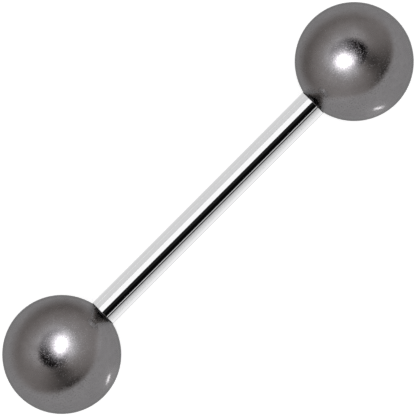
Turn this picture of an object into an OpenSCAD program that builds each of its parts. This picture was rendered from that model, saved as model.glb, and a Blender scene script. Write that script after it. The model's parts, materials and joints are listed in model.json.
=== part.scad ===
// Tongue barbell: a straight steel bar with a threaded tip at each end, and a
// pearl-coated ball screwed onto each tip. It lies on its two balls, with the
// bar along X and the lowest point of the balls at Z = 0. Millimetres.

/* [Bar] */
// Diameter of the plain shank, 14 gauge
bar_diameter = 1.6; // [1.5:0.05:2.4]
// Length of the shank between the two ball seats, 5/8 inch
bar_length = 15.9; // [6:0.1:40]
// Width of the bevel on each shoulder of the shank
shoulder_bevel = 0.04; // [0.02:0.01:0.1]

/* [Threaded tips] */
// Diameter over the crests of the thread
thread_diameter = 1.2; // [1:0.05:1.3]
// Distance from one crest of the thread to the next
thread_pitch = 0.25; // [0.2:0.05:0.35]
// Length of each tip beyond its shoulder
tip_length = 2; // [1.5:0.1:3.2]
// Shortest plain neck between a shoulder and the first crest
neck_length = 0.2; // [0.1:0.05:0.4]
// Width of the bevel at the end of each tip
tip_bevel = 0.15; // [0.05:0.01:0.2]

/* [Balls] */
// Diameter of each ball, 1/4 inch
ball_diameter = 6.35; // [5:0.05:8]
// Width of the flat seat beyond the edge of the shank
seat_lip = 0.04; // [0:0.01:0.2]
// Space between a crest of the thread and the wall of its hole
thread_clearance = 0.03; // [0.01:0.01:0.1]
// Space between the end of a tip and the floor of its hole
hole_end_room = 0.15; // [0.1:0.05:0.6]
// Angle of the drilled cone at the floor of each hole, in degrees
drill_point_angle = 118; // [90:1:150]

/* [Fit] */
// Space between a shoulder of the bar and the seat of its ball
seat_gap = 0.01; // [0:0.005:0.05]

/* [Hidden] */
$fn = 96;

// Metric 60 degree thread, as shares of the pitch
THREAD_DEPTH_SHARE = 0.613;
CREST_FLAT_SHARE = 0.125;
FLANK_ANGLE = 30;

// How far the hole's cutting shape starts outside the ball
CUT_OVERRUN = 1;

bar_radius = bar_diameter / 2;
half_length = bar_length / 2;
shoulder_radius = bar_radius - shoulder_bevel;

crest_radius = thread_diameter / 2;
thread_depth = THREAD_DEPTH_SHARE * thread_pitch;
root_radius = crest_radius - thread_depth;
flank_width = thread_depth * tan(FLANK_ANGLE);
crest_flat = CREST_FLAT_SHARE * thread_pitch;
root_flat = thread_pitch - crest_flat - 2 * flank_width;
tip_end = half_length + tip_length;
thread_turns = floor((tip_length - neck_length - tip_bevel) / thread_pitch);
thread_start = tip_end - tip_bevel - thread_turns * thread_pitch;

ball_radius = ball_diameter / 2;
seat_radius = bar_radius + seat_lip;
seat_distance = sqrt(pow(ball_radius, 2) - pow(seat_radius, 2));
ball_offset = half_length + seat_gap + seat_distance;
hole_radius = crest_radius + thread_clearance;
hole_depth = seat_gap + tip_length + hole_end_room;
drill_cone_height = hole_radius / tan(drill_point_angle / 2);
bar_height = ball_radius;

// Each profile point is [distance from the bar's centreline, distance along it].

// One ridge of the thread: root flat, rising flank, crest flat
function thread_ridge(start) = [
    [root_radius, start],
    [root_radius, start + root_flat],
    [crest_radius, start + root_flat + flank_width],
    [crest_radius, start + root_flat + flank_width + crest_flat]
];

// Right half of the bar's outline, from the shank to the end of the tip
function half_outline() = concat(
    [
        [bar_radius, half_length - shoulder_bevel],
        [shoulder_radius, half_length],
        [root_radius, half_length]
    ],
    [
        for (turn = [0 : thread_turns - 1])
            each thread_ridge(thread_start + turn * thread_pitch)
    ],
    [
        [root_radius, tip_end - tip_bevel],
        [root_radius - tip_bevel, tip_end],
        [0, tip_end]
    ]
);

// The same outline mirrored to the left, in reverse order
function mirrored(points) = [
    for (i = [len(points) - 1 : -1 : 0]) [points[i][0], -points[i][1]]
];

// Turns a shape modelled along Z so that it lies along X, at the bar's height
module along_bar() {
    translate([0, 0, bar_height])
        rotate([0, 90, 0])
            children();
}

module bar() {
    color("silver")
        along_bar()
            rotate_extrude()
                polygon(concat(mirrored(half_outline()), half_outline()));
}

// Blind hole for a threaded tip, drilled from its mouth at Z = 0 towards +Z
module threaded_hole() {
    mouth_overrun = ball_radius - seat_distance + CUT_OVERRUN;
    rotate_extrude()
        polygon([
            [0, -mouth_overrun],
            [hole_radius, -mouth_overrun],
            [hole_radius, hole_depth],
            [0, hole_depth + drill_cone_height]
        ]);
}

// Ball on the right end of the bar: sphere, flat seat and blind hole
module right_ball() {
    color("dimgray")
        along_bar()
            translate([0, 0, ball_offset])
                difference() {
                    sphere(r = ball_radius);
                    translate([0, 0, -seat_distance - ball_diameter])
                        cylinder(r = ball_radius, h = ball_diameter);
                    translate([0, 0, -seat_distance])
                        threaded_hole();
                }
}

module left_ball() {
    mirror([1, 0, 0])
        right_ball();
}

bar();
left_ball();  // ball_left
right_ball();  // ball_right
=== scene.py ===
import json
import math

import bpy
from mathutils import Matrix, Vector


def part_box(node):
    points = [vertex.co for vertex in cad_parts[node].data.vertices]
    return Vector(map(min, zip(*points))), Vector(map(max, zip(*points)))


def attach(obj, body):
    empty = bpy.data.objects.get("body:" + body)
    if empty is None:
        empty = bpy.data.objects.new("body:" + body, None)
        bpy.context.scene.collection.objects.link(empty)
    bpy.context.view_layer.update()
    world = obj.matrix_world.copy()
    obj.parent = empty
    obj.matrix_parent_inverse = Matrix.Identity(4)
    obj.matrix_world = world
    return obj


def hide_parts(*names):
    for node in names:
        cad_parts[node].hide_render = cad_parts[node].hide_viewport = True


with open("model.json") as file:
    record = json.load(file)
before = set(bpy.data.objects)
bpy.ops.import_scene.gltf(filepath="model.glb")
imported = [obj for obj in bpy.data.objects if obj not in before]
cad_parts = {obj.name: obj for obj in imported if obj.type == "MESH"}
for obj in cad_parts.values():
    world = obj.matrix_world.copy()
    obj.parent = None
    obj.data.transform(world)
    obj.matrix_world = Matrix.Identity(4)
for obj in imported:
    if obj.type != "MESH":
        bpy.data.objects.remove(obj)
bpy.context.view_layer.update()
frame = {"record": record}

MM = 0.001
record = frame["record"]

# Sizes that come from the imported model
ball_low, ball_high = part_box("ball_right")
bar_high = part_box("bar")[1]
BALL_RADIUS = (ball_high.z - ball_low.z) / 2
AXIS_HEIGHT = (ball_high.z + ball_low.z) / 2
BALL_CENTRE = ball_high.x - BALL_RADIUS
SEAT_X = ball_low.x
TIP_X = bar_high.x
SHANK_RADIUS = record["mounts"][0]["dims"]["r_mm"] * MM
SHOULDER_X = record["mounts"][0]["dims"]["length_mm"] * MM / 2
BAR_AXIS = Vector((0.0, 0.0, AXIS_HEIGHT))

# Details of the bar and the balls, as in the CAD model to 0.01 mm
SHOULDER_BEVEL = 0.04 * MM
CREST_RADIUS = 0.6 * MM
THREAD_DEPTH = 0.153 * MM
THREAD_PITCH = 0.25 * MM
TIP_END_RADIUS = 0.3 * MM
HOLE_RADIUS = 0.63 * MM
HOLE_DEPTH = 2.16 * MM
DRILL_CONE = 0.378 * MM
SEAT_RADIUS = 0.84 * MM
ROOT_RADIUS = CREST_RADIUS - THREAD_DEPTH
HOLE_FLOOR_X = SEAT_X + HOLE_DEPTH

# Details that the CAD model has in another form or not at all
NECK = 0.25 * MM
THREAD_RUN_IN = 0.15 * MM
HOLE_THREAD_DEPTH = 0.1 * MM
HOLE_THREAD_RUN_IN = 0.1 * MM
HOLE_THREAD_RUN_OUT = 0.2 * MM
COUNTERSINK = 0.06 * MM
SEAT_ROUND = 0.035 * MM
# How far the rounding of the seat's edge reaches over the ball, in roundings
SEAT_ROUND_REACH = 1.2
SHOULDER_ROUND = 0.012 * MM
TIP_END_ROUND = 0.02 * MM
# Distance from the shoulder to the last ring of the plain shank
LAST_SHANK_RING = 0.4 * MM
# Where a flank of the thread starts and ends, as shares of half a pitch
FLANK_START = 0.12
FLANK_END = 0.86
# The shoulder's bevel with both edges rounded, from the shank to the face. A row is how far a point lies
# back from the face, in bevels and roundings, and how far in from the shank's surface, likewise.
SHOULDER_OUTLINE = (
    (1.0, 2.0, 0.0, 0.0),
    (1.0, 1.0, 0.0, 0.02),
    (1.0, 0.0, 0.0, 0.22),
    (1.0, -0.7, 0.0, 0.75),
    (0.0, 0.8, 1.0, -0.7),
    (0.0, 0.22, 1.0, 0.0),
    (0.0, 0.0, 1.0, 1.0),
    (0.0, 0.0, 1.0, 3.0),
)
# Fillet between the shoulder's face and the neck: distance from the face, height above the neck
NECK_FILLET = ((0.0, 0.06 * MM), (0.015 * MM, 0.02 * MM), (0.05 * MM, 0.0))
# Drilled cone: distance from the hole's floor in cone heights, radius in hole radii
CONE_OUTLINE = ((1.0, 0.0), (0.5, 0.5), (0.04, 0.96))
# Mouth of the hole, in countersinks: depth, distance out from the hole's wall
MOUTH_OUTLINE = ((1.0, 0.0), (0.1, 0.9), (0.0, 1.2))
# Edge of the seat, in roundings: depth, distance in from the seat's edge
SEAT_OUTLINE = ((0.0, 2.0), (0.0, 1.0), (0.06, 0.35))

# Mesh resolution
BALL_SEGMENTS = 192
BALL_RINGS = 110
BAR_SEGMENTS = 128
RINGS_PER_PITCH = 14
RING_STEP = THREAD_PITCH / RINGS_PER_PITCH
# Distance from the last ring of the thread to the tip's end, in ring steps
TIP_EDGE_SHARE = 0.3


# Meshes

def smoothstep(low, high, value):
    t = min(max((value - low) / (high - low), 0.0), 1.0)
    return t * t * (3.0 - 2.0 * t)


def new_object(name, mesh):
    piece = bpy.data.objects.new(name, mesh)
    bpy.context.scene.collection.objects.link(piece)
    return piece


def turned_mesh(name, stations, radius_at, segments):
    """A closed body turned about the barbell's axis.

    stations are (distance along X, nominal radius) from end to end, with a radius of 0 at both ends.
    radius_at(x, nominal, turn) may vary the radius round a ring.
    """
    first, last = stations[0], stations[-1]
    verts = [(first[0], 0.0, AXIS_HEIGHT)]
    for x, nominal in stations[1:-1]:
        for i in range(segments):
            turn = i / segments
            radius = radius_at(x, nominal, turn)
            angle = math.tau * turn
            verts.append((x, radius * math.cos(angle), AXIS_HEIGHT + radius * math.sin(angle)))
    verts.append((last[0], 0.0, AXIS_HEIGHT))
    end = len(verts) - 1
    rings = len(stations) - 2
    faces = []
    for i in range(segments):
        j = (i + 1) % segments
        faces.append((0, 1 + j, 1 + i))
        for ring in range(rings - 1):
            a = 1 + ring * segments
            b = a + segments
            faces.append((a + i, a + j, b + j, b + i))
        a = 1 + (rings - 1) * segments
        faces.append((a + i, a + j, end))
    mesh = bpy.data.meshes.new(name)
    mesh.from_pydata(verts, [], faces)
    mesh.validate()
    mesh.update()
    mesh.shade_smooth()
    return new_object(name, mesh)


def thread_wave(x, turn):
    """Height of a right-hand 60 degree thread between its root, 0, and its crest, 1."""
    phase = (x / THREAD_PITCH - turn) % 1.0
    ramp = abs(2.0 * phase - 1.0)
    return smoothstep(FLANK_START, FLANK_END, ramp)


def bar_stations():
    """Half of the bar's outline from the middle to the right tip, then mirrored."""
    half = [(0.0, SHANK_RADIUS), (SHOULDER_X * 0.5, SHANK_RADIUS)]
    half.append((SHOULDER_X - LAST_SHANK_RING, SHANK_RADIUS))
    for bevels_back, rounds_back, bevels_in, rounds_in in SHOULDER_OUTLINE:
        x = SHOULDER_X - bevels_back * SHOULDER_BEVEL - rounds_back * SHOULDER_ROUND
        half.append((x, SHANK_RADIUS - bevels_in * SHOULDER_BEVEL - rounds_in * SHOULDER_ROUND))
    half += [(SHOULDER_X + along, ROOT_RADIUS + above) for along, above in NECK_FILLET]
    x = half[-1][0] + RING_STEP
    while x < TIP_X - 2 * TIP_EDGE_SHARE * RING_STEP:
        half.append((x, ROOT_RADIUS))
        x += RING_STEP
    half += [(TIP_X - TIP_EDGE_SHARE * RING_STEP, ROOT_RADIUS), (TIP_X, TIP_END_RADIUS - TIP_END_ROUND)]
    half += [(TIP_X, TIP_END_RADIUS * 0.5), (TIP_X, 0.0)]
    return [(-x, r) for x, r in reversed(half[1:])] + half


def bar_radius(x, nominal, turn):
    along = abs(x)
    thread_start = SHOULDER_X + NECK
    if along <= thread_start - THREAD_RUN_IN or along >= TIP_X:
        return nominal
    rise = smoothstep(thread_start - THREAD_RUN_IN, thread_start + THREAD_RUN_IN, along)
    threaded = nominal + THREAD_DEPTH * rise * thread_wave(x, turn)
    bevel_limit = TIP_END_RADIUS + (TIP_X - along)
    return min(threaded, bevel_limit)


def ball_stations():
    """Outline of the right ball: from the hole's floor to the seat, then over the ball to its far pole."""
    stations = [(HOLE_FLOOR_X + along * DRILL_CONE, HOLE_RADIUS * share) for along, share in CONE_OUTLINE]
    x = HOLE_FLOOR_X
    while x > SEAT_X + COUNTERSINK + RING_STEP:
        stations.append((x, HOLE_RADIUS))
        x -= RING_STEP
    for depth, outward in MOUTH_OUTLINE:
        stations.append((SEAT_X + depth * COUNTERSINK, HOLE_RADIUS + outward * COUNTERSINK))
    for depth, inward in SEAT_OUTLINE:
        stations.append((SEAT_X + depth * SEAT_ROUND, SEAT_RADIUS - inward * SEAT_ROUND))
    half_chord = math.asin(SEAT_RADIUS / BALL_RADIUS)
    rim_start = half_chord + SEAT_ROUND_REACH * SEAT_ROUND / BALL_RADIUS
    first = math.pi - rim_start
    for i in range(BALL_RINGS):
        angle = first * (1 - i / BALL_RINGS)
        stations.append((BALL_CENTRE + BALL_RADIUS * math.cos(angle), BALL_RADIUS * math.sin(angle)))
    stations.append((BALL_CENTRE + BALL_RADIUS, 0.0))
    return stations


def ball_radius_at(x, nominal, turn):
    along = abs(x)
    if nominal != HOLE_RADIUS or not SEAT_X + COUNTERSINK < along <= HOLE_FLOOR_X:
        return nominal
    run_in = smoothstep(0.0, HOLE_THREAD_RUN_IN, along - SEAT_X - COUNTERSINK)
    run_out = smoothstep(0.0, HOLE_THREAD_RUN_OUT, HOLE_FLOOR_X - along)
    fade = run_in * run_out
    return nominal + HOLE_THREAD_DEPTH * fade * thread_wave(x, turn)


bar = turned_mesh("polished_bar", bar_stations(), bar_radius, BAR_SEGMENTS)
right_outline = ball_stations()
left_outline = [(-x, r) for x, r in reversed(right_outline)]
right_ball = turned_mesh("pearl_ball_right", right_outline, ball_radius_at, BALL_SEGMENTS)
left_ball = turned_mesh("pearl_ball_left", left_outline, ball_radius_at, BALL_SEGMENTS)


# Node helper

class Tree:
    """Short calls for building a node tree. A value may be a number, a tuple or another node's output."""

    def __init__(self, tree):
        self.tree = tree
        tree.nodes.clear()

    def node(self, kind, **sockets):
        made = self.tree.nodes.new(kind)
        for name, value in sockets.items():
            self.feed(made.inputs[name.replace("_", " ")], value)
        return made

    def feed(self, socket, value):
        if isinstance(value, bpy.types.NodeSocket):
            self.tree.links.new(value, socket)
        else:
            socket.default_value = value

    def math(self, operation, *values):
        made = self.tree.nodes.new("ShaderNodeMath")
        made.operation = operation
        for socket, value in zip(made.inputs, values):
            self.feed(socket, value)
        return made.outputs[0]

    def vector(self, operation, *values):
        made = self.tree.nodes.new("ShaderNodeVectorMath")
        made.operation = operation
        for socket, value in zip(made.inputs, values):
            self.feed(socket, value)
        return made.outputs["Value"] if operation in ("LENGTH", "DOT_PRODUCT") else made.outputs[0]

    def scaled(self, vector, factor):
        made = self.tree.nodes.new("ShaderNodeVectorMath")
        made.operation = "SCALE"
        self.feed(made.inputs[0], vector)
        self.feed(made.inputs["Scale"], factor)
        return made.outputs[0]

    def smooth(self, value, low, high, out_low=0.0, out_high=1.0):
        """Smooth step from out_low at low to out_high at high."""
        made = self.tree.nodes.new("ShaderNodeMapRange")
        made.interpolation_type = "SMOOTHSTEP"
        ends = (("From Min", low), ("From Max", high), ("To Min", out_low), ("To Max", out_high))
        for name, number in ends:
            self.feed(made.inputs[name], number)
        self.feed(made.inputs["Value"], value)
        return made.outputs[0]

    def mix_colour(self, factor, a, b):
        made = self.tree.nodes.new("ShaderNodeMix")
        made.data_type = "RGBA"
        self.feed(made.inputs["Factor"], factor)
        self.feed(made.inputs[6], a)
        self.feed(made.inputs[7], b)
        return made.outputs[2]

    def away_from(self, point, place):
        """Distance from a place's centre, counted so that it is 1 on the ellipse with its radii."""
        centre, radii, turn = place
        offset = self.vector("SUBTRACT", point, (*centre, 0.0))
        turned = self.node("ShaderNodeVectorRotate", Vector=offset, Angle=-math.radians(turn)).outputs[0]
        return self.vector("LENGTH", self.vector("DIVIDE", turned, (*radii, 1.0)))

    def soft_spot(self, point, strength, place):
        """A spot that fades out from its centre, as strength * exp(-distance squared)."""
        distance = self.away_from(point, place)
        squared = self.math("MULTIPLY", distance, distance)
        fading = self.math("EXPONENT", self.math("MULTIPLY", squared, -1.0))
        return self.math("MULTIPLY", fading, strength)

    def finish(self, shader):
        output = self.tree.nodes.new("ShaderNodeOutputMaterial")
        self.tree.links.new(shader, output.inputs["Surface"])

    def finish_glow(self, colour, strength):
        """A shader that adds light and lets every ray pass."""
        glowing = self.node("ShaderNodeEmission", Color=colour, Strength=strength)
        clear = self.node("ShaderNodeBsdfTransparent")
        both = self.node("ShaderNodeAddShader")
        self.feed(both.inputs[0], glowing.outputs[0])
        self.feed(both.inputs[1], clear.outputs[0])
        self.finish(both.outputs[0])


def new_material(name):
    material = bpy.data.materials.new(name)
    material.use_nodes = True
    return material, Tree(material.node_tree)


# Polished steel. The rings left by polishing are noise that changes fast along the bar and slowly round it.
STEEL_COLOUR = (0.5, 0.5, 0.505, 1.0)
WORN_COLOUR = (0.47, 0.47, 0.475, 1.0)
STEEL_ROUGHNESS = 0.03
WEAR_ROUGHNESS = 0.04
THREAD_ROUGHNESS = 0.22
THREAD_BLEND = 0.1 * MM
RINGS_SCALE = (9000.0, 700.0, 700.0)
RINGS_DETAIL = 3.0
RINGS_BUMP_STRENGTH = 0.25
RINGS_BUMP_DEPTH = 0.0004 * MM
WEAR_SCALE = 900.0
WEAR_DETAIL = 2.0


def make_steel():
    material, t = new_material("polished_steel")
    place = t.node("ShaderNodeTexCoord").outputs["Object"]
    along = t.math("ABSOLUTE", t.node("ShaderNodeSeparateXYZ", Vector=place).outputs["X"])
    in_thread = t.smooth(along, SHOULDER_X, SHOULDER_X + THREAD_BLEND)
    rings_place = t.vector("MULTIPLY", place, RINGS_SCALE)
    rings = t.node("ShaderNodeTexNoise", Vector=rings_place, Scale=1.0, Detail=RINGS_DETAIL)
    cloud = t.node("ShaderNodeTexNoise", Vector=place, Scale=WEAR_SCALE, Detail=WEAR_DETAIL)
    wear = t.math("MULTIPLY", rings.outputs["Fac"], cloud.outputs["Fac"])
    shank_roughness = t.math("MULTIPLY_ADD", wear, WEAR_ROUGHNESS, STEEL_ROUGHNESS)
    roughness = t.math("ADD", shank_roughness, t.math("MULTIPLY", in_thread, THREAD_ROUGHNESS))
    tint = t.mix_colour(wear, STEEL_COLOUR, WORN_COLOUR)
    bump = t.node("ShaderNodeBump", Strength=RINGS_BUMP_STRENGTH, Distance=RINGS_BUMP_DEPTH,
                  Height=rings.outputs["Fac"])
    shader = t.node("ShaderNodeBsdfPrincipled", Base_Color=tint, Metallic=1.0, Roughness=roughness,
                    Normal=bump.outputs[0])
    t.finish(shader.outputs[0])
    return material


# Pearl coat. Each flake lies a little out of true, and a few are much rougher than the rest and glitter
# near a bright light.
PEARL_DARK = (0.138, 0.1335, 0.136, 1.0)
PEARL_LIGHT = (0.15, 0.1455, 0.148, 1.0)
PEARL_EDGE = (0.55, 0.55, 0.55, 1.0)
FLAKE_SCALE = 22000.0
FLAKE_TILT = 0.04
FLAKE_ROUGHNESS = 0.06
ROUGHEST_FLAKE = 0.42
ROUGH_FLAKE_RARITY = 3.5
MEAN_FLAKE_COLOUR = (0.5, 0.5, 0.5)
LUSTRE_SCALE = 2600.0
LUSTRE_DETAIL = 3.0
LUSTRE_LOW = 0.3
LUSTRE_HIGH = 0.7
COAT_WEIGHT = 0.1
COAT_ROUGHNESS = 0.1
COAT_IOR = 1.4


def make_pearl():
    material, t = new_material("pearl_coat")
    place = t.node("ShaderNodeTexCoord").outputs["Object"]
    normal = t.node("ShaderNodeNewGeometry").outputs["Normal"]
    flakes = t.node("ShaderNodeTexVoronoi", Vector=place, Scale=FLAKE_SCALE)
    chance = t.node("ShaderNodeTexWhiteNoise", Vector=t.scaled(flakes.outputs["Position"], FLAKE_SCALE))
    spread = t.vector("SUBTRACT", flakes.outputs["Color"], MEAN_FLAKE_COLOUR)
    tilted = t.vector("NORMALIZE", t.vector("ADD", normal, t.scaled(spread, FLAKE_TILT)))
    rare = t.math("POWER", chance.outputs["Value"], ROUGH_FLAKE_RARITY)
    roughness = t.math("MULTIPLY_ADD", rare, ROUGHEST_FLAKE - FLAKE_ROUGHNESS, FLAKE_ROUGHNESS)
    cloud = t.node("ShaderNodeTexNoise", Vector=place, Scale=LUSTRE_SCALE, Detail=LUSTRE_DETAIL)
    lustre = t.smooth(cloud.outputs["Fac"], LUSTRE_LOW, LUSTRE_HIGH)
    colour = t.mix_colour(lustre, PEARL_DARK, PEARL_LIGHT)
    shader = t.node("ShaderNodeBsdfPrincipled", Base_Color=colour, Metallic=1.0, Roughness=roughness,
                    Normal=tilted, Specular_Tint=PEARL_EDGE, Coat_Weight=COAT_WEIGHT,
                    Coat_Roughness=COAT_ROUGHNESS, Coat_IOR=COAT_IOR)
    t.finish(shader.outputs[0])
    return material


steel = make_steel()
pearl = make_pearl()
for piece, body, node, slot, material in (
    (bar, "post", "bar", "polished_steel", steel),
    (left_ball, "left_ball", "ball_left", "pearl_coat", pearl),
    (right_ball, "right_ball", "ball_right", "pearl_coat", pearl),
):
    piece.data.materials.append(material)
    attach(piece, body)
    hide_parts(node)


# Studio
WHITE = (1.0, 1.0, 1.0, 1.0)
WATTS_PER_RADIANCE = math.pi


def seen_only_by(thing, camera=False, diffuse=False, glossy=False, shadow=False):
    thing.visible_camera = camera
    thing.visible_diffuse = diffuse
    thing.visible_glossy = glossy
    thing.visible_transmission = glossy
    thing.visible_shadow = shadow


def light_only(light, *receivers):
    group = bpy.data.collections.new(light.name + "_receivers")
    for receiver in receivers:
        group.objects.link(receiver)
    light.light_linking.receiver_collection = group


def area_light(name, centre, toward, length, width, radiance, receivers, long_axis=(1, 0, 0),
               tint=(1, 1, 1)):
    """A rectangular soft light of even radiance whose length lies along long_axis as far as it can."""
    data = bpy.data.lights.new(name, "AREA")
    data.shape = "RECTANGLE"
    data.size = length
    data.size_y = width
    data.energy = radiance * length * width * WATTS_PER_RADIANCE
    data.color = tint
    lamp = new_object(name, data)
    back = (Vector(centre) - Vector(toward)).normalized()
    across = back.cross(Vector(long_axis)).normalized()
    side = across.cross(back)
    lamp.matrix_world = Matrix.Translation(centre) @ Matrix((side, across, back)).transposed().to_4x4()
    lamp.visible_camera = False
    light_only(lamp, *receivers)
    return lamp


def flat_sheet(name, half, height):
    mesh = bpy.data.meshes.new(name)
    corners = ((-half, -half), (half, -half), (half, half), (-half, half))
    mesh.from_pydata([(x, y, height) for x, y in corners], [], [(0, 1, 2, 3)])
    return new_object(name, mesh)


# Floor: a white light table, lit from below and from above. It lies a hair under the balls.
FLOOR_HALF = 0.5
FLOOR_HEIGHT = -0.01 * MM
TABLE_COLOUR = (0.8, 0.8, 0.8, 1.0)
TABLE_ROUGHNESS = 0.9
TABLE_GLOW = 0.6
FLOOR_LIGHT_HEIGHT = 0.36
FLOOR_LIGHT_SIZE = 0.9
FLOOR_LIGHT_RADIANCE = 1.3
MIRRORED_FLOOR_RADIANCE = 1.27


def make_floor():
    """The floor that the camera sees."""
    sheet = flat_sheet("floor", FLOOR_HALF, FLOOR_HEIGHT)
    material, t = new_material("light_table")
    shader = t.node("ShaderNodeBsdfPrincipled", Base_Color=TABLE_COLOUR, Roughness=TABLE_ROUGHNESS,
                    Specular_IOR_Level=0.0, Emission_Color=WHITE, Emission_Strength=TABLE_GLOW)
    t.finish(shader.outputs[0])
    sheet.data.materials.append(material)
    seen_only_by(sheet, camera=True, diffuse=True, shadow=True)
    area_light("floor_light", (0.0, 0.0, FLOOR_LIGHT_HEIGHT), (0.0, 0.0, 0.0), FLOOR_LIGHT_SIZE,
               FLOOR_LIGHT_SIZE, FLOOR_LIGHT_RADIANCE, [sheet])
    return sheet


def make_mirror_floor():
    """The floor that the bar mirrors."""
    sheet = flat_sheet("mirrored_floor", FLOOR_HALF, FLOOR_HEIGHT)
    material, t = new_material("mirrored_floor")
    t.finish_glow(WHITE, MIRRORED_FLOOR_RADIANCE)
    sheet.data.materials.append(material)
    seen_only_by(sheet, glossy=True)
    light_only(sheet, bar)
    return sheet


floor = make_floor()
mirror_floor = make_mirror_floor()

# Strips above and beside the bar: name, lowest and highest angle from straight up towards +Y, radiance
STRIP_DISTANCE = 0.12
STRIP_LENGTH = 0.08
BAR_STRIPS = (
    ("overhead", 9.6, 50.0, 1.95),
    ("back_card", 51.0, 91.0, 1.28),
    ("camera_side_back", -12.0, 9.0, 0.028),
    ("camera_side_front", -38.0, -12.5, 0.003),
    ("front_line", -45.0, -38.8, 1.25),
    ("front_low", -60.0, -53.0, 0.75),
    ("front_mid", -70.0, -60.5, 1.1),
    ("front_card", -91.0, -70.5, 1.3),
)
for name, low, high, radiance in BAR_STRIPS:
    middle = math.radians((low + high) / 2)
    half = math.radians((high - low) / 2)
    centre = BAR_AXIS + STRIP_DISTANCE * Vector((0.0, math.sin(middle), math.cos(middle)))
    width = 2 * STRIP_DISTANCE * math.tan(half)
    area_light("bar_" + name, centre, BAR_AXIS, STRIP_LENGTH, width, radiance, [bar])
# Cards beyond the bar's ends, which only show in the balls' view of the bar: name, lowest and highest angle,
# radiance
END_CARD_DISTANCE = 0.12
END_CARD_LENGTH = 0.3
END_CARDS = (("low", 0.0, 22.0, 0.85), ("high", 22.0, 38.0, 0.35))
END_CARD_TINT = (1.0, 0.92, 0.86)
for name, low, high, radiance in END_CARDS:
    bottom = END_CARD_DISTANCE * math.tan(math.radians(low))
    top = END_CARD_DISTANCE * math.tan(math.radians(high))
    for side in (-1, 1):
        centre = BAR_AXIS + Vector((side * END_CARD_DISTANCE, 0.0, (bottom + top) / 2))
        level_point = Vector((0.0, 0.0, centre.z))
        area_light("bar_end_" + name, centre, level_point, END_CARD_LENGTH, top - bottom, radiance, [bar],
                   (0, 1, 0), END_CARD_TINT)
# A glow from the floor beside the bar
FLOOR_GLOW_Y = -14.0 * MM
FLOOR_GLOW_LENGTH = 0.05
FLOOR_GLOW_WIDTH = 0.02
FLOOR_GLOW_RADIANCE = 0.4
area_light("bar_floor_glow", (0.0, FLOOR_GLOW_Y, 0.0), (0.0, FLOOR_GLOW_Y, AXIS_HEIGHT), FLOOR_GLOW_LENGTH,
           FLOOR_GLOW_WIDTH, FLOOR_GLOW_RADIANCE, [bar])

# Surroundings of each ball: a dome that only its own ball sees. A place on it is given by the point of the
# ball that mirrors it to a viewer above the bar's middle: (across towards the bar's middle, up towards +Y),
# in shares of the ball's radius. A light or card is: name, strength, centre, its two radii, the turn of the
# first radius.
DOME_RADIUS = 0.3
VIEWER_HEIGHT = 0.32
SOFT_LIGHTS = (
    ("right_softbox", 1.078, (0.342, 0.259), (0.671, 0.461), -44.9),
    ("front_softbox", 2.5, (0.597, -0.472), (0.671, 0.126), 40.2),
    ("back_softbox", 0.636, (-0.339, 0.288), (0.208, 0.13), 90.0),
)
DARK_CARDS = (
    ("left_card", 0.98, (-0.081, -0.642), (0.695, 0.217), -39.2),
    ("front_card", 0.696, (-0.219, -0.202), (0.19, 0.157), -38.3),
)
KEY_LIGHTS = (
    ("key", 12.946, (0.106, 0.117), (0.142, 0.095), 25.9),
    ("key_reflector", 3.084, (0.126, 0.143), (0.133, 0.222), -14.9),
    ("key_halo", 1.669, (0.06, 0.194), (0.311, 0.151), -55.3),
)
# The dark room above: its level, how that changes towards the bar's middle and the back, its darkest
ROOM_LEVEL = 0.676
ROOM_SLOPE = -0.583
ROOM_FLOOR = 0.02
# The key light's dark hood
KEY_HOOD = ((-0.024, 0.153), (0.325, 0.253), 32.2)
KEY_HOOD_SHADE = 0.995
KEY_HOOD_SOFT = 0.178
# The edge of the light table round the dark room: an oval, sharp in front and soft at the back
OVAL = ((0.015, 0.144), (0.675, 0.803), -82.1)
OVAL_SOFT_FRONT = 0.069
OVAL_SOFT_BACK = 0.14
OVAL_FRONT_Y = -0.3
OVAL_BACK_Y = 0.7
# The light table: its level in front and at the back, a bright streak, and the shadows of bar and ball
TABLE_FRONT = 1.375
TABLE_BACK = 1.36
FLOOR_STREAK = ((0.258, -0.84), (0.08, 0.02), 28.6)
FLOOR_STREAK_LEVEL = 5.6
FLOOR_STREAK_EDGES = (0.3, 1.5)
STREAK_GLOW_LEVEL = 0.35
STREAK_GLOW = ((0.3, -0.86), (0.22, 0.1), 20.0)
BAR_SHADOW = ((1.0, 0.02), (0.25, 0.22), 0.0)
BAR_SHADOW_LEVEL = 0.15
BAR_SHADOW_EDGES = (0.45, 1.2)
BALL_SHADOW_LEVEL = 0.35
BALL_SHADOW_START = 0.94
# Hues, dim and bright, and the levels between which they change
ROOM_HUES = ((1.0, 0.915, 0.87, 1.0), (1.0, 1.0, 1.02, 1.0))
ROOM_HUE_LEVELS = (0.4, 2.2)
HOOD_HUES = ((1.0, 0.9, 0.94, 1.0), (1.0, 0.985, 1.03, 1.0))
HOOD_HUE_LEVELS = (0.0, 0.6)
TABLE_HUE = (1.0, 0.992, 1.0, 1.0)


def mirror_point(t):
    """The point of the ball that mirrors this part of the dome to the viewer."""
    direction = t.vector("NORMALIZE", t.node("ShaderNodeTexCoord").outputs["Object"])
    viewer = Vector((BALL_CENTRE, 0.0, VIEWER_HEIGHT)).normalized()
    mirroring = t.vector("NORMALIZE", t.vector("ADD", direction, tuple(viewer)))
    facing = t.vector("DOT_PRODUCT", mirroring, tuple(viewer))
    across = t.vector("SUBTRACT", mirroring, t.scaled(tuple(viewer), facing))
    return t.vector("MULTIPLY", across, (1.0, 1.0, 0.0))


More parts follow.
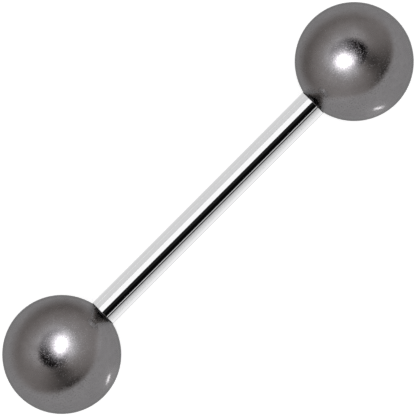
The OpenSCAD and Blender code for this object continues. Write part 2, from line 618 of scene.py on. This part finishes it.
def room_above(t, point):
    """Level and hue of the dark room with its soft lights, dark cards and hooded key light."""
    diagonal = t.vector("DOT_PRODUCT", point, (1.0, 1.0, 0.0))
    level = t.math("MULTIPLY_ADD", diagonal, ROOM_SLOPE, ROOM_LEVEL)
    for name, strength, *place in SOFT_LIGHTS:
        level = t.math("ADD", level, t.soft_spot(point, strength, place))
    for name, strength, *place in DARK_CARDS:
        level = t.math("MULTIPLY", level, t.math("SUBTRACT", 1.0, t.soft_spot(point, strength, place)))
    hood_distance = t.away_from(point, KEY_HOOD)
    hood = t.smooth(hood_distance, 1.0 - KEY_HOOD_SOFT, 1.0 + KEY_HOOD_SOFT, 1.0 - KEY_HOOD_SHADE, 1.0)
    level = t.math("MULTIPLY", t.math("MAXIMUM", level, ROOM_FLOOR), hood)
    for name, strength, *place in KEY_LIGHTS:
        level = t.math("ADD", level, t.soft_spot(point, strength, place))
    room_hue = t.mix_colour(t.smooth(level, *ROOM_HUE_LEVELS), *ROOM_HUES)
    hood_hue = t.mix_colour(t.smooth(level, *HOOD_HUE_LEVELS), *HOOD_HUES)
    return level, t.mix_colour(hood, hood_hue, room_hue)


def light_table(t, point, height):
    """Level of the light table, with its streak and shadows."""
    level = t.smooth(height, -1.0, 1.0, TABLE_FRONT, TABLE_BACK)
    streak = t.smooth(t.away_from(point, FLOOR_STREAK), *FLOOR_STREAK_EDGES, FLOOR_STREAK_LEVEL, 0.0)
    level = t.math("ADD", level, t.math("ADD", streak, t.soft_spot(point, STREAK_GLOW_LEVEL, STREAK_GLOW)))
    bar_shadow = t.smooth(t.away_from(point, BAR_SHADOW), *BAR_SHADOW_EDGES, BAR_SHADOW_LEVEL, 1.0)
    ball_shadow = t.smooth(t.vector("LENGTH", point), BALL_SHADOW_START, 1.0, 1.0, BALL_SHADOW_LEVEL)
    return t.math("MULTIPLY", level, t.math("MULTIPLY", bar_shadow, ball_shadow))


def make_surroundings():
    material, t = new_material("ball_surroundings")
    point = mirror_point(t)
    height = t.node("ShaderNodeSeparateXYZ", Vector=point).outputs["Y"]
    room_level, room_hue = room_above(t, point)
    table_level = light_table(t, point, height)
    softness = t.smooth(height, OVAL_FRONT_Y, OVAL_BACK_Y, OVAL_SOFT_FRONT, OVAL_SOFT_BACK)
    inner = t.math("SUBTRACT", 1.0, softness)
    outer = t.math("ADD", 1.0, softness)
    table = t.smooth(t.away_from(point, OVAL), inner, outer)
    room = t.math("SUBTRACT", 1.0, table)
    level = t.math("ADD", t.math("MULTIPLY", room_level, room), t.math("MULTIPLY", table, table_level))
    t.finish_glow(t.mix_colour(table, room_hue, TABLE_HUE), level)
    return material


DOME_SEGMENTS = 48
DOME_RINGS = 31


def dome_mesh():
    """A closed sphere of radius 1."""
    verts = [(0.0, 0.0, 1.0)]
    for ring in range(1, DOME_RINGS + 1):
        polar = math.pi * ring / (DOME_RINGS + 1)
        for i in range(DOME_SEGMENTS):
            turn = math.tau * i / DOME_SEGMENTS
            x = math.sin(polar) * math.cos(turn)
            y = math.sin(polar) * math.sin(turn)
            verts.append((x, y, math.cos(polar)))
    faces = [(0, 1 + i, 1 + (i + 1) % DOME_SEGMENTS) for i in range(DOME_SEGMENTS)]
    for ring in range(DOME_RINGS - 1):
        a = 1 + ring * DOME_SEGMENTS
        for i in range(DOME_SEGMENTS):
            j = (i + 1) % DOME_SEGMENTS
            faces.append((a + i, a + DOME_SEGMENTS + i, a + DOME_SEGMENTS + j, a + j))
    bottom = len(verts)
    verts.append((0.0, 0.0, -1.0))
    last = bottom - DOME_SEGMENTS
    faces += [(bottom, last + (i + 1) % DOME_SEGMENTS, last + i) for i in range(DOME_SEGMENTS)]
    mesh = bpy.data.meshes.new("dome")
    mesh.from_pydata(verts, [], faces)
    return mesh


# The right ball's dome is the left one's mirror image, so that the balls look alike from above the bar
dome_material = make_surroundings()
for side, name, ball in ((-1, "left", left_ball), (1, "right", right_ball)):
    dome = new_object("surroundings_" + name, dome_mesh())
    dome.location = (side * BALL_CENTRE, 0.0, AXIS_HEIGHT)
    dome.scale = (-side * DOME_RADIUS, DOME_RADIUS, DOME_RADIUS)
    dome.data.materials.append(dome_material)
    seen_only_by(dome, glossy=True)
    light_only(dome, ball)

# A pale disc that stands across the middle of the bar, over its axis, and keeps each ball's dark image out
# of the other ball. Its place is (up, across) from the axis.
GAP_CARD_HALF = 6.0 * MM
GAP_CARD_STRENGTH = 0.84
GAP_CARD = ((1.3 * MM, 0.0), (1.3 * MM, 1.45 * MM), 0.0)
GAP_CARD_SOFT = 0.15


def make_gap_card():
    card = flat_sheet("gap_card", GAP_CARD_HALF, 0.0)
    card.matrix_world = Matrix.Translation(BAR_AXIS) @ Matrix.Rotation(math.radians(-90.0), 4, "Y")
    material, t = new_material("gap_card")
    distance = t.away_from(t.node("ShaderNodeTexCoord").outputs["Object"], GAP_CARD)
    glow = t.smooth(distance, 1.0 - GAP_CARD_SOFT, 1.0 + GAP_CARD_SOFT, GAP_CARD_STRENGTH, 0.0)
    t.finish_glow(WHITE, glow)
    card.data.materials.append(material)
    seen_only_by(card, glossy=True)
    light_only(card, left_ball, right_ball)
    return card


gap_card = make_gap_card()

# White behind everything for the camera alone
WHITE_BEHIND_LEVEL = 1.3
scene = bpy.context.scene
world = bpy.data.worlds.new("white_surroundings")
scene.world = world
world.use_nodes = True
world.node_tree.nodes["Background"].inputs["Color"].default_value = WHITE
world.node_tree.nodes["Background"].inputs["Strength"].default_value = WHITE_BEHIND_LEVEL
for kind in ("diffuse", "glossy", "transmission", "scatter"):
    setattr(world.cycles_visibility, kind, False)
scene.view_settings.view_transform = "Standard"

# Camera: straight above, turned so that the bar runs from lower left to upper right
CAMERA_TURN = math.radians(45.04)
VIEW_WIDTH = 22.163 * MM
SENSOR_WIDTH = 36.0
CLIP_START = 0.01
CLIP_END = 2.0
camera_data = bpy.data.cameras.new("camera")
camera_data.sensor_width = SENSOR_WIDTH
camera_data.lens = SENSOR_WIDTH * VIEWER_HEIGHT / VIEW_WIDTH
camera_data.clip_start = CLIP_START
camera_data.clip_end = CLIP_END
camera = new_object("camera", camera_data)
camera.location = (0.0, 0.0, AXIS_HEIGHT + VIEWER_HEIGHT)
camera.rotation_euler = (0.0, 0.0, -CAMERA_TURN)
scene.camera = camera
